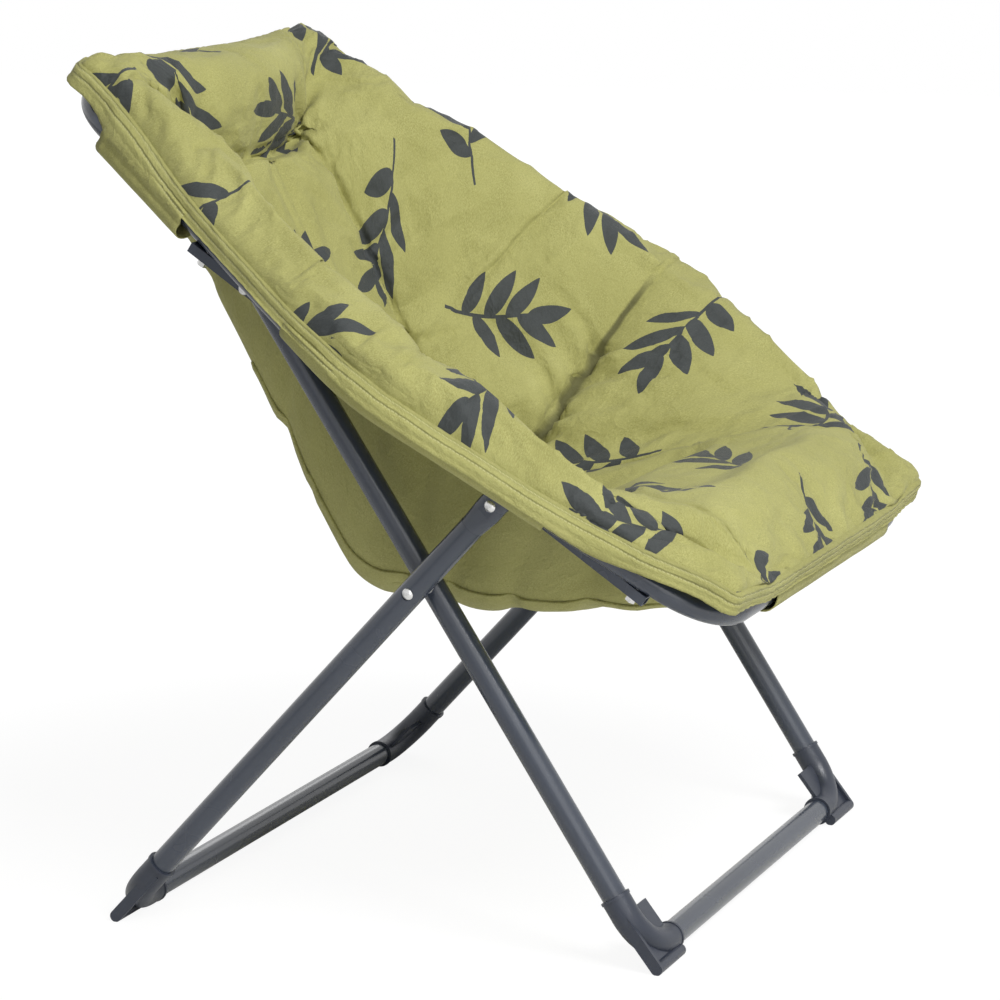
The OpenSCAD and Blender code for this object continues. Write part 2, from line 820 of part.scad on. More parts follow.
module outer_bag() {
    rows = [for (i = [3 : len(stations) - 4]) stations[i]];
    color(plain_cloth)
        in_rim()
            quilt([for (s = rows) both_sides([for (k = [0 : bag_last]) bag_point(s, k, skin_gap)])],
                [for (s = rows) both_sides([for (k = [0 : bag_last]) bag_point(s, k, skin_gap + bag_t)])]);
}

// Welt where the bag's sides meet its bottom panel
module bag_welt() {
    low = stations[16];
    color(plain_cloth)
        in_rim()
            translate([0, -low[8], low[9] - skin_gap - bag_t - 2.6])
                rotate([0, 90, 0])
                    cylinder(d = 4, h = 2 * welt_half * 0.6, center = true);
}

rear_leg_frame();
front_leg_frame();
rear_foot_left();
rear_foot_right();
front_foot_left();
front_foot_right();
scissor_rivets();
outer_saddle_washers();
inner_saddle_washers();
rear_leg_top_pins();
side_rail_left();
side_rail_right();
back_rim_tube();
seat_rim_tube();
rim_joiners();
rim_bolts();
rim_nuts();
front_leg_top_rivets();
rail_washers();
slide_bracket_left();
slide_bracket_right();
top_sleeve();
upper_sleeve_left();
upper_sleeve_right();
side_sleeve_left();
side_sleeve_right();
front_sleeve();
edge_binding();
padded_liner();
outer_bag();
bag_welt();
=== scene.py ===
import bisect
import json
import math
import bpy
import bmesh
from mathutils import Matrix, Vector, noise


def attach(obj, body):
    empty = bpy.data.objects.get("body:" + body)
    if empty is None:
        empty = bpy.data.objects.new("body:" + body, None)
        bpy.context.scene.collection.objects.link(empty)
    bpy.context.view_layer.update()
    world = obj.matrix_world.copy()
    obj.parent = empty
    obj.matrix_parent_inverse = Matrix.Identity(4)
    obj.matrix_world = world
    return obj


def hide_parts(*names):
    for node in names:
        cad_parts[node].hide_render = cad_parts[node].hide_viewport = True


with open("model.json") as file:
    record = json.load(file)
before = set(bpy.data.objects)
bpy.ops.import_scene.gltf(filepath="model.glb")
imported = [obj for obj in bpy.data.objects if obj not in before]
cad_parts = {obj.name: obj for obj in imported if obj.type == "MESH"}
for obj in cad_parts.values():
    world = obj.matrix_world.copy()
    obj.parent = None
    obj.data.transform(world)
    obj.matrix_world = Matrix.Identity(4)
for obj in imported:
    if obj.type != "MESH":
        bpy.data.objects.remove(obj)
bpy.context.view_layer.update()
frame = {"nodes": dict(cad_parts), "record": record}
print("frame loaded")

scene = bpy.context.scene
scene.view_settings.view_transform = "Standard"


# the camera stands where the photo's did
cameraValues = dict(azimuth=66.4148, elevation=11.4503, roll=-0.8381, distance=3.6263,
                    target=(0.0, 0.00067, 0.38461), lens=126.24, sensor=36, clip=50)


def makeCamera(v):
    az, el, roll = (math.radians(v[k]) for k in ("azimuth", "elevation", "roll"))
    ahead = Vector((math.sin(az) * math.cos(el), math.cos(az) * math.cos(el), -math.sin(el)))
    flat = Vector((math.cos(az), -math.sin(az), 0))
    up = flat.cross(ahead)
    right = flat * math.cos(roll) + up * math.sin(roll)
    up = up * math.cos(roll) - flat * math.sin(roll)
    lens = bpy.data.cameras.new("camera")
    lens.lens = v["lens"]
    lens.sensor_width = v["sensor"]
    lens.clip_end = v["clip"]
    camera = bpy.data.objects.new("camera", lens)
    scene.collection.objects.link(camera)
    turn = Matrix((right, up, -ahead)).transposed().to_4x4()
    camera.matrix_world = Matrix.Translation(Vector(v["target"]) - ahead * v["distance"]) @ turn
    scene.camera = camera


makeCamera(cameraValues)


# three soft lamps over a white floor
lampValues = [dict(name="key", place=(-1.4, -2.5, 3.2), size=1.5, watts=138),
              dict(name="fill", place=(-3.2, -3.0, 1.4), size=2.4, watts=17),
              dict(name="back", place=(2.6, 1.6, 2.4), size=2.2, watts=20)]
roomValues = dict(aim=(0, 0, 0.45), fill=0.28, glossy=0.75, glow=1.06,
                  floorSize=9, floorColour=(0.84, 0.84, 0.83, 1), floorRough=0.9,
                  floorGlow=0.86, floorEnds=(0.55, 1.3))


def makeLamp(v, target):
    lamp = bpy.data.lights.new(v["name"], "AREA")
    lamp.shape = "SQUARE"
    lamp.size = v["size"]
    lamp.energy = v["watts"]
    holder = bpy.data.objects.new(v["name"], lamp)
    scene.collection.objects.link(holder)
    aim = Vector(target) - Vector(v["place"])
    holder.matrix_world = Matrix.Translation(v["place"]) @ aim.to_track_quat("-Z", "Y").to_matrix().to_4x4()


for lampValue in lampValues:
    makeLamp(lampValue, roomValues["aim"])


# node trees are written as expressions
mixSockets = dict(share=0, first=6, second=7, out=2)       # the mix node's, when it mixes colours


class Wire:                                    # one socket's output, with arithmetic
    def __init__(self, tree, out):
        self.tree = tree
        self.out = out

    def node(self, kind, settings=None, values=None, take=0):
        made = self.tree.nodes.new(kind)
        for key, value in (settings or {}).items():
            setattr(made, key, value)
        for key, value in (values or {}).items():
            if isinstance(value, Wire):
                self.tree.links.new(value.out, made.inputs[key])
            else:
                made.inputs[key].default_value = value
        return Wire(self.tree, made.outputs[take])

    def sum(self, operation, *values):
        return self.node("ShaderNodeMath", dict(operation=operation), dict(enumerate(values)))

    def __add__(self, other): return self.sum("ADD", self, other)
    def __radd__(self, other): return self.sum("ADD", other, self)
    def __sub__(self, other): return self.sum("SUBTRACT", self, other)
    def __rsub__(self, other): return self.sum("SUBTRACT", other, self)
    def __mul__(self, other): return self.sum("MULTIPLY", self, other)
    def __rmul__(self, other): return self.sum("MULTIPLY", other, self)
    def __truediv__(self, other): return self.sum("DIVIDE", self, other)
    def __rtruediv__(self, other): return self.sum("DIVIDE", other, self)
    def __pow__(self, other): return self.sum("POWER", self, other)
    def __abs__(self): return self.sum("ABSOLUTE", self)
    def __gt__(self, other): return self.sum("GREATER_THAN", self, other)
    def __lt__(self, other): return self.sum("LESS_THAN", self, other)

    def floor(self): return self.sum("FLOOR", self)
    def fract(self): return self.sum("FRACT", self)
    def sine(self): return self.sum("SINE", self)
    def cosine(self): return self.sum("COSINE", self)
    def larger(self, other): return self.sum("MAXIMUM", self, other)
    def sign(self): return self.ease(0, 1, -1, 1)      # of a yes or no, as 1 or -1

    def ease(self, low, high, start=0.0, end=1.0):     # a smooth step from low to high
        return self.node("ShaderNodeMapRange", dict(interpolation_type="SMOOTHSTEP"),
                         {"Value": self, "From Min": low, "From Max": high, "To Min": start, "To Max": end})

    def split(self):
        parts = self.node("ShaderNodeSeparateXYZ", None, {0: self})
        return [Wire(self.tree, parts.out.node.outputs[i]) for i in range(3)]

    def join(self, x, y):
        return self.node("ShaderNodeCombineXYZ", None, {0: x, 1: y})

    def vector(self, operation, *values, take=0):
        return self.node("ShaderNodeVectorMath", dict(operation=operation), dict(enumerate(values)), take)

    def scaled(self, x, y, z):
        return self.vector("MULTIPLY", self, (x, y, z))

    def cloud(self, scale, detail=2.0, rough=0.5):     # soft noise about 0.5
        return self.node("ShaderNodeTexNoise", dict(noise_dimensions="3D"),
                         {"Vector": self, "Scale": scale, "Detail": detail, "Roughness": rough})

    def mixed(self, first, second):                    # a colour between two, by this amount
        g = mixSockets
        return self.node("ShaderNodeMix", dict(data_type="RGBA"),
                         {g["share"]: self, g["first"]: first, g["second"]: second}, g["out"])


class Finish:                                  # a material and its one shader
    def __init__(self, name, **constants):
        self.material = bpy.data.materials.new(name)
        self.material.use_nodes = True
        self.tree = self.material.node_tree
        self.shader = self.tree.nodes["Principled BSDF"]
        for key, value in constants.items():
            self.shader.inputs[key.replace("_", " ")].default_value = value
        self.start = Wire(self.tree, None)

    def place(self):
        return self.start.node("ShaderNodeTexCoord", None, None, "Object")

    def cloth(self):
        return self.start.node("ShaderNodeUVMap", dict(uv_map="flat"))

    def feed(self, name, wire):
        self.tree.links.new(wire.out, self.shader.inputs[name])

    def bump(self, height, distance, strength):
        self.feed("Normal", self.start.node("ShaderNodeBump", None, {
            "Strength": strength, "Distance": distance, "Height": height}))


def makeRoom(v):
    world = bpy.data.worlds.new("room")
    world.use_nodes = True
    scene.world = world
    start = Wire(world.node_tree, None)
    path = start.node("ShaderNodeLightPath", None, None, "Is Camera Ray")
    glossy = Wire(world.node_tree, path.out.node.outputs["Is Glossy Ray"])
    clear = Wire(world.node_tree, path.out.node.outputs["Is Transmission Ray"])
    seen = path.larger(clear).larger(glossy * v["glossy"])
    back = world.node_tree.nodes["Background"]
    world.node_tree.links.new((v["fill"] + seen * (1 - v["fill"])).out, back.inputs["Strength"])
    back.inputs["Color"].default_value = (1, 1, 1, 1)

    shape = bmesh.new()
    bmesh.ops.create_grid(shape, x_segments=2, y_segments=2, size=v["floorSize"])
    floor = bpy.data.objects.new("floor", bpy.data.meshes.new("floor"))
    shape.to_mesh(floor.data)
    shape.free()
    scene.collection.objects.link(floor)
    paint = Finish("floorPaint", Roughness=v["floorRough"])
    paint.shader.inputs["Base Color"].default_value = v["floorColour"]
    light = paint.start.node("ShaderNodeLightPath", None, None, "Is Camera Ray")
    glow = paint.start.node("ShaderNodeEmission", None, {"Color": (1, 1, 1, 1), "Strength": v["glow"]})
    spot = paint.place()
    far = spot.vector("LENGTH", spot, take="Value").ease(*v["floorEnds"])
    share = light * (v["floorGlow"] + far * (1 - v["floorGlow"]))
    both = paint.start.node("ShaderNodeMixShader", None, {0: share})
    paint.tree.links.new(paint.shader.outputs[0], both.out.node.inputs[1])
    paint.tree.links.new(glow.out, both.out.node.inputs[2])
    paint.tree.links.new(both.out, paint.tree.nodes["Material Output"].inputs["Surface"])
    floor.data.materials.append(paint.material)


makeRoom(roomValues)
print("camera, light and floor made")


# hard finishes: clouds are (scale, detail, roughness), and ends say where a value eases from and to
paintValues = dict(shader=dict(Coat_Weight=0.6, Coat_Roughness=0.12, IOR=1.5), roughness=0.26,
                   colour=(0.029, 0.037, 0.055, 1), worn=(0.074, 0.090, 0.126, 1),
                   broad=(9, 3), rub=(70, 4, 0.65), stretch=(1, 1, 0.35), rubEnds=(0.63, 0.72),
                   lowEnds=(0.0, 0.12, 1.0, 0.15), wear=(0.45, 0.6), uneven=(0.16, 0.15),
                   grain=(620, 1), swell=0.6, bump=(0.0003, 0.5))
footValues = dict(shader=dict(Coat_Weight=0.1, Coat_Roughness=0.3), roughness=0.34,
                  colour=(0.027, 0.033, 0.050, 1), worn=(0.052, 0.061, 0.086, 1),
                  broad=(24, 3), rub=(180, 4, 0.7), stretch=(1, 1, 1), rubEnds=(0.6, 0.75),
                  lowEnds=(0.0, 0.03, 1.0, 0.1), wear=(0.4, 0.7), uneven=(0.2, 0.2),
                  grain=(1500, 2), swell=1.0, bump=(0.0004, 0.45))
metalValues = dict(shader=dict(Metallic=1.0), roughness=0.2,
                   colour=(0.80, 0.80, 0.79, 1), worn=(0.52, 0.52, 0.51, 1),
                   broad=(150, 3), dullEnds=(0.45, 0.75), wear=0.6, uneven=(0.1, 0.12),
                   grain=(900, 2), stretch=(6, 1, 1), bump=(0.0001, 0.4))
washerValues = dict(shader=dict(), roughness=0.5,
                    colour=(0.70, 0.70, 0.68, 1), worn=(0.55, 0.55, 0.53, 1),
                    broad=(90, 3), dullEnds=(0.4, 0.7), wear=0.7, uneven=(0.0, 0.0),
                    grain=(1300, 2), stretch=(1, 1, 1), bump=(0.0002, 0.4))


def largeFinish(name, v):                      # paint or plastic, rubbed most near the floor
    f = Finish(name, **v["shader"])
    p = f.place()
    broad = p.cloud(*v["broad"])
    rub = p.scaled(*v["stretch"]).cloud(*v["rub"]).ease(*v["rubEnds"]) * p.split()[2].ease(*v["lowEnds"])
    f.feed("Base Color", (broad * v["wear"][0] + rub * v["wear"][1]).mixed(v["colour"], v["worn"]))
    f.feed("Roughness", v["roughness"] + (broad - 0.5) * v["uneven"][0] + rub * v["uneven"][1])
    f.bump(p.cloud(*v["grain"]) + broad * v["swell"], *v["bump"])
    return f.material


def smallFinish(name, v):                      # rivets, bolts and washers, dull in places
    f = Finish(name, **v["shader"])
    p = f.place()
    grain = p.scaled(*v["stretch"]).cloud(*v["grain"])
    dull = p.cloud(*v["broad"]).ease(*v["dullEnds"])
    f.feed("Base Color", (dull * v["wear"]).mixed(v["colour"], v["worn"]))
    f.feed("Roughness", v["roughness"] + grain * v["uneven"][0] + dull * v["uneven"][1])
    f.bump(grain, *v["bump"])
    return f.material


hardFinish = dict(frame_paint=largeFinish("framePaint", paintValues),
                  foot_plastic=largeFinish("footPlastic", footValues),
                  bright_metal=smallFinish("brightMetal", metalValues),
                  washer_plastic=smallFinish("washerPlastic", washerValues))
slotOf = {part["node"]: part["material_slot"] for part in frame["record"]["subparts"]}
for nodeName, nodeObject in frame["nodes"].items():
    if slotOf[nodeName] in hardFinish:
        nodeObject.data.materials.clear()
        nodeObject.data.materials.append(hardFinish[slotOf[nodeName]])
print("hard finishes made")


# cloth finishes
clothValues = dict(light=(0.495, 0.483, 0.188, 1), mid=(0.400, 0.389, 0.136, 1),
                   deep=(0.305, 0.295, 0.092, 1), paintedShade=(0.060, 0.058, 0.022, 1),
                   threadColour=(0.56, 0.55, 0.26, 1),
                   shader=dict(Sheen_Weight=0.08, Sheen_Roughness=0.45, Specular_IOR_Level=0.35),
                   thread=0.0011, slub=(260, 3, 0.6), slubStretch=9, broad=(7, 4, 0.55),
                   heather=(640, 2, 0.7), crumple=(20, 4, 0.6), bump=(0.0019, 0.75),
                   # how much each counts in the tone and in the height
                   tone=dict(broad=0.8, slub=1.5, heather=1.1, weave=0.16), toneEnds=(0.1, 0.8),
                   height=dict(weave=0.12, slub=0.15, crumple=1.2),
                   mottle=(30, 3), mottleEnds=(0.3, 0.7), mottled=0.5, roughness=0.78, uneven=0.3)
# painted shade in the seat's sewn crease, where its groove is in shadow: ends across it and along it
creaseShadeValues = dict(across=(0.0014, 0.0050, 1.0, 0.0), along=(0.36, 0.42, 1.0, 0.0), share=0.82)
stitchValues = dict(pitch=0.0042, dash=0.7, width=0.6, share=0.7, height=0.8, dent=(0.0, 0.0024, 1.4, 0.0))
printValues = dict(colour=(0.038, 0.044, 0.044, 1), faded=(0.064, 0.071, 0.070, 1), fade=0.55, smooth=0.16,
                   cell=0.182, shift=0.5, jitter=0.005, seed=(3.7, 8.1), edge=0.02)
# one sprig, in metres from its middle: stem along x, leaves as (start along the stem, angle, length, width)
sprigValues = dict(stem=(-0.086, 0.030), stemWidth=0.0017, stemShare=0.4, bow=1.2, sink=0.002, stagger=0.0075,
                   tip=(0.027, 0.0, 0.056, 0.0125),
                   pairs=((-0.052, 52.0, 0.052, 0.0128), (-0.022, 44.0, 0.062, 0.0138),
                          (0.006, 36.0, 0.058, 0.0130)))
leafValues = dict(curve=0.5, base=0.62, point=0.82, full=1.95, least=0.0001)


def leafMask(x, y, leaf, g):
    start, angle, length, width = leaf
    c, s = math.cos(math.radians(angle)), math.sin(math.radians(angle))
    along = ((x - start) * c + y * s) / length
    across = (y * c - (x - start) * s) / width
    across = across + along * (1 - along) * g["curve"]
    inside = along.larger(0.0) * (1 - along).larger(0.0)
    base = along.larger(g["least"]) ** g["base"]
    point = (1 - along).larger(g["least"]) ** g["point"]
    return (base * point * g["full"] - abs(across)) * (inside > 0.0)


def leafPrint(uv, v, g):
    size = v["cell"]
    x, y, _ = uv.scaled(1 / size, 1 / size, 1).split()
    x, y = x + v["seed"][0], y + v["seed"][1]
    row = y.floor()
    x = x + (row * v["shift"]).fract()
    column = x.floor()
    dice = uv.node("ShaderNodeTexWhiteNoise", dict(noise_dimensions="2D"),
                   {"Vector": uv.join(column, row)}, "Color")
    first, second, third = dice.split()
    x = (x.fract() - 0.5) * size + (second - 0.5) * (2 * v["jitter"])
    y = (y.fract() - 0.5) * size + (third - 0.5) * (2 * v["jitter"])
    turn = first * (2 * math.pi)
    c, s = turn.cosine(), turn.sine()
    x, y = x * c + y * s, y * c - x * s
    y = y * ((second * 7.0).fract() > 0.5).sign()
    y = y - x * x * g["bow"] + g["sink"]
    side = (y > 0.0).sign()
    best = leafMask(x, y, g["tip"], leafValues)
    for leaf in g["pairs"]:
        best = best.larger(leafMask(x + side * g["stagger"], abs(y), leaf, leafValues))
    stem = (1 - abs(y) / g["stemWidth"]) * g["stemShare"]
    stem = stem * (x > g["stem"][0]) * (x < g["stem"][1])
    return best.larger(stem) > v["edge"]


def weaveHeight(uv, v):
    x, y, _ = uv.scaled(2 * math.pi / v["thread"], 2 * math.pi / v["thread"], 1).split()
    return (x.sine() * y.sine()) * 0.5 + 0.5


def clothFinish(name, v, printed=False, creased=False, seams=()):
    f = Finish(name, **v["shader"])
    uv = f.cloth()
    stretch = v["slubStretch"]
    weave = weaveHeight(uv, v)
    slub = (uv.scaled(1, stretch, 1).cloud(*v["slub"]) * 0.5
            + uv.scaled(stretch, 1, 1).cloud(*v["slub"]) * 0.5)
    broad, heather = uv.cloud(*v["broad"]), uv.cloud(*v["heather"])
    part = v["tone"]
    tone = (broad * part["broad"] + (slub - 0.5) * part["slub"] + (heather - 0.5) * part["heather"]
            + (weave - 0.5) * part["weave"]).ease(*v["toneEnds"])
    colour = tone.mixed(v["deep"], v["light"])
    colour = (uv.cloud(*v["mottle"]).ease(*v["mottleEnds"]) * v["mottled"]).mixed(colour, v["mid"])
    rough = v["roughness"] + (slub - 0.5) * v["uneven"]
    if printed:
        g = printValues
        mask = leafPrint(uv, g, sprigValues)
        colour = mask.mixed(colour, (tone * g["fade"]).mixed(g["colour"], g["faded"]))
        rough = rough - mask * g["smooth"]
    run, across, _ = uv.split()
    if creased:
        g = creaseShadeValues
        # painted shade: the cloth's colour is darkened along the sewn crease
        creaseShadow = abs(across).ease(*g["across"]) * abs(run).ease(*g["along"])
        colour = (creaseShadow * g["share"]).mixed(colour, v["paintedShade"])
    crumple = 1 - abs(uv.cloud(*v["crumple"]) * 2 - 1)
    part = v["height"]
    height = weave * part["weave"] + slub * part["slub"] + crumple * crumple * crumple * part["crumple"]
    for seam in seams:                         # rows of stitches along the piece
        g = stitchValues
        dash = (run * (1 / g["pitch"])).fract() < g["dash"]
        away = abs(across - seam)
        thread = (away < v["thread"] * g["width"]) * dash
        colour = (thread * g["share"]).mixed(colour, v["threadColour"])
        height = height + thread * g["height"] - away.ease(*g["dent"])
    f.feed("Base Color", colour)
    f.feed("Roughness", rough)
    f.bump(height, *v["bump"])
    return f.material


plainCloth = clothFinish("plainCloth", clothValues)
hemCloth = clothFinish("hemCloth", clothValues, seams=(0.0112, 0.0192))
sleeveCloth = clothFinish("sleeveCloth", clothValues, seams=(0.0045,))
printedCloth = clothFinish("printedCloth", clothValues, printed=True, creased=True)
print("cloth finishes made")


# the rim's own frame: x across, s forward down the slope, off out of the rim's plane
# its corners are x, s and the bend's radius
rimValues = dict(hinge=(0.128871, 0.640842), slope=34.0, tube=0.011, height=0.016,
                 corners=((0.2226, -0.285, 0.08), (0.3792, 0.165, 0.13), (0.2855, 0.555, 0.08)))
rimTilt = math.radians(rimValues["slope"])


def place(x, s, off):
    y, z = rimValues["hinge"]
    return Vector((x, y - s * math.cos(rimTilt) - off * math.sin(rimTilt),
                   z - s * math.sin(rimTilt) + off * math.cos(rimTilt)))


def between(table, at):                        # a smooth curve through rows of numbers, sorted by the first
    last = len(table) - 1
    k = 0
    while k < last - 1 and at > table[k + 1][0]:
        k += 1
    a, b = table[k], table[k + 1]
    t = min(max((at - a[0]) / (b[0] - a[0]), 0), 1)
    before, after = table[max(k - 1, 0)], table[min(k + 2, last)]
    out = []
    for i in range(1, len(a)):
        step = b[0] - a[0]
        slopeA = (b[i] - before[i]) / (b[0] - before[0]) * step
        slopeB = (after[i] - a[i]) / (after[0] - a[0]) * step
        if (b[i] - a[i]) * slopeA <= 0 or (b[i] - a[i]) * slopeB <= 0:
            slopeA = slopeA if (b[i] - a[i]) * slopeA > 0 else 0
            slopeB = slopeB if (b[i] - a[i]) * slopeB > 0 else 0
        out.append((2 * t ** 3 - 3 * t ** 2 + 1) * a[i] + (t ** 3 - 2 * t ** 2 + t) * slopeA
                   + (3 * t ** 2 - 2 * t ** 3) * b[i] + (t ** 3 - t ** 2) * slopeB)
    return out


def rounded(corners, steps=10):                # one half of the rim's line, from top middle to front middle
    line = [Vector((0, corners[0][1]))] + [Vector(c[:2]) for c in corners] + [Vector((0, corners[-1][1]))]
    points = [line[0]]
    for k in range(1, len(line) - 1):
        back, ahead = (line[k - 1] - line[k]).normalized(), (line[k + 1] - line[k]).normalized()
        half = back.angle(ahead) / 2
        radius = corners[k - 1][2]
        middle = line[k] + (back + ahead).normalized() * radius / math.sin(half)
        start = line[k] + back * radius / math.tan(half) - middle
        sweep = start.angle_signed(line[k] + ahead * radius / math.tan(half) - middle)
        for i in range(steps + 1):
            turn = -sweep * i / steps
            points.append(middle + Vector((start.x * math.cos(turn) - start.y * math.sin(turn),
                                           start.x * math.sin(turn) + start.y * math.cos(turn))))
    return points + [line[-1]]


class ClosedLine:                              # met by length from the top's middle
    def __init__(self, half):                  # its right half, with both ends in the middle
        self.points = half + [Vector((-p.x, p.y, p.z)) for p in reversed(half[1:-1])]
        self.lengths = [0.0]
        for a, b in zip(self.points, self.points[1:] + self.points[:1]):
            self.lengths.append(self.lengths[-1] + (b - a).length)
        self.whole = self.lengths[-1]

    def spot(self, length):
        length = length % self.whole
        k = min(bisect.bisect_right(self.lengths, length), len(self.points)) - 1
        a, b = self.points[k], self.points[(k + 1) % len(self.points)]
        return a.lerp(b, (length - self.lengths[k]) / (self.lengths[k + 1] - self.lengths[k]))

    def at(self, length, near=0.012):          # the point there and the way out of the seat
        run = self.spot(length + near) - self.spot(length - near)
        return self.spot(length), Vector((run.y, -run.x, 0)).normalized()

    def where(self, s):                        # length at which the right half passes this s
        low, high = self.lengths[2], self.whole / 2
        for _ in range(40):
            mid = (low + high) / 2
            low, high = (mid, high) if self.spot(mid).y < s else (low, mid)
        return low


rimLine = ClosedLine([point.to_3d() for point in rounded(rimValues["corners"])])


# cloth pieces are grids laid in place
def clothGrid(along, across, spot):            # spot gives the place for (i, j), each from 0 to 1
    shape = bmesh.new()
    bmesh.ops.create_grid(shape, x_segments=along, y_segments=across, size=1)
    net = {}
    for vert in shape.verts:
        i, j = round((vert.co.x + 1) / 2 * along), round((vert.co.y + 1) / 2 * across)
        net[i, j] = vert
    for (i, j), vert in net.items():
        vert.co = spot(i / along, j / across)
    return shape, net


def flatUv(shape, net, along, across, middle=None, origin=None):     # uv in metres, measured along the grid
    middle = along // 2 if middle is None else middle
    origin = across // 2 if origin is None else origin
    wide, long = {}, {}
    for j in range(across + 1):
        wide[middle, j] = 0.0
        for i in range(middle + 1, along + 1):
            wide[i, j] = wide[i - 1, j] + (net[i, j].co - net[i - 1, j].co).length
        for i in range(middle - 1, -1, -1):
            wide[i, j] = wide[i + 1, j] - (net[i, j].co - net[i + 1, j].co).length
    for i in range(along + 1):
        long[i, origin] = 0.0
        for j in range(origin + 1, across + 1):
            long[i, j] = long[i, j - 1] + (net[i, j].co - net[i, j - 1].co).length
        for j in range(origin - 1, -1, -1):
            long[i, j] = long[i, j + 1] - (net[i, j].co - net[i, j + 1].co).length
    flat = {vert: (wide[key], long[key]) for key, vert in net.items()}
    layer = shape.loops.layers.uv.new("flat")
    for face in shape.faces:
        for loop in face.loops:
            loop[layer].uv = flat[loop.vert]


def finishPiece(name, shape, material, body):
    mesh = bpy.data.meshes.new(name)
    shape.to_mesh(mesh)
    shape.free()
    for face in mesh.polygons:
        face.use_smooth = True
    piece = bpy.data.objects.new(name, mesh)
    scene.collection.objects.link(piece)
    mesh.materials.append(material)
    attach(piece, body)
    return piece


